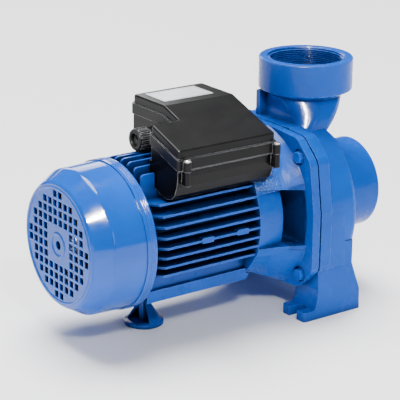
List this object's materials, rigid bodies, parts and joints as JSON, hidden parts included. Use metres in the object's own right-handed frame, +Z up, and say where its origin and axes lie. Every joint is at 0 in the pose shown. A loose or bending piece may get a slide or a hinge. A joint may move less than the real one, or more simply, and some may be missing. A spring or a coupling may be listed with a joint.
{
  "type": "centrifugal water pump",
  "caption": "Close-coupled electric water pump: finned motor with fan cover and terminal box, bracket with side windows, and a footed casing with threaded ports.",
  "frame": {"origin": "floor level, under the middle of the bounding box", "axes": "+X along the shaft towards the suction port, +Z up along the discharge port"},
  "size_m": [0.416, 0.212, 0.2824],
  "materials": {
    "blue_cast_iron": "glossy sky-blue paint on cast iron",
    "blue_aluminium": "sky-blue paint on die-cast aluminium",
    "blue_sheet": "glossy sky-blue paint on pressed sheet steel",
    "bolt_blue": "painted-over steel bolts",
    "black_plastic": "satin black moulded plastic",
    "zinc_screws": "zinc-plated screws",
    "label_foil": "blank brushed foil",
    "shaft_steel": "ground steel",
    "ball_steel": "polished balls",
    "cage_steel": "pressed steel cage",
    "core_steel": "stacked electrical steel",
    "copper_winding": "varnished copper wire",
    "brass_wheel": "cast brass",
    "black_rubber": "black rubber",
    "seal_ceramic": "lapped ceramic",
    "seal_carbon": "lapped carbon",
    "capacitor_case": "pale plastic can"
  },
  "bodies": {
    "pump_frame": {"pump_casing": "blue_cast_iron", "casing_gasket": "black_rubber", "motor_bracket": "blue_cast_iron", "flange_bolts": "bolt_blue", "stator_housing": "blue_aluminium", "stator_core": "core_steel", "winding_front": "copper_winding", "winding_rear": "copper_winding", "rear_end_shield": "blue_aluminium", "fan_cover": "blue_sheet", "rear_foot": "blue_cast_iron", "front_bearing_outer": "shaft_steel", "rear_bearing_outer": "shaft_steel", "wave_washer": "zinc_screws", "seal_seat": "seal_ceramic", "seal_cup": "black_rubber", "terminal_box_base": "black_plastic", "terminal_box_lid": "black_plastic", "lid_screws": "zinc_screws", "rating_label": "label_foil", "capacitor": "capacitor_case", "terminal_block": "black_plastic", "gland_body": "black_plastic", "gland_nut": "black_plastic", "gland_seal": "black_rubber"},
    "rotor": {"shaft": "shaft_steel", "rotor_core": "core_steel", "impeller": "brass_wheel", "impeller_key": "shaft_steel", "impeller_washer": "zinc_screws", "impeller_nut": "zinc_screws", "water_slinger": "black_rubber", "seal_ring": "seal_carbon", "seal_bellows": "black_rubber", "seal_spring": "zinc_screws", "front_bearing_inner": "shaft_steel", "rear_bearing_inner": "shaft_steel", "cooling_fan": "black_plastic", "fan_clip": "zinc_screws"},
    "front_cage": {"front_bearing_balls": "ball_steel", "front_bearing_cage": "cage_steel"},
    "rear_cage": {"rear_bearing_balls": "ball_steel", "rear_bearing_cage": "cage_steel"}
  },
  "joints": [
    {"name": "rotor_spin", "type": "hinge", "parent": "pump_frame", "child": "rotor", "pos_m": [0, 0, 0.1163], "axis": [1, 0, 0], "continuous": true},
    {"name": "front_cage_spin", "type": "hinge", "parent": "pump_frame", "child": "front_cage", "pos_m": [0.0215, 0, 0.1163], "axis": [1, 0, 0], "continuous": true},
    {"name": "rear_cage_spin", "type": "hinge", "parent": "pump_frame", "child": "rear_cage", "pos_m": [-0.132, 0, 0.1163], "axis": [1, 0, 0], "continuous": true}
  ],
  "couplings": [
    {"joint": "front_cage_spin", "follows": "rotor_spin", "ratio": 0.3969},
    {"joint": "rear_cage_spin", "follows": "rotor_spin", "ratio": 0.3815}
  ]
}
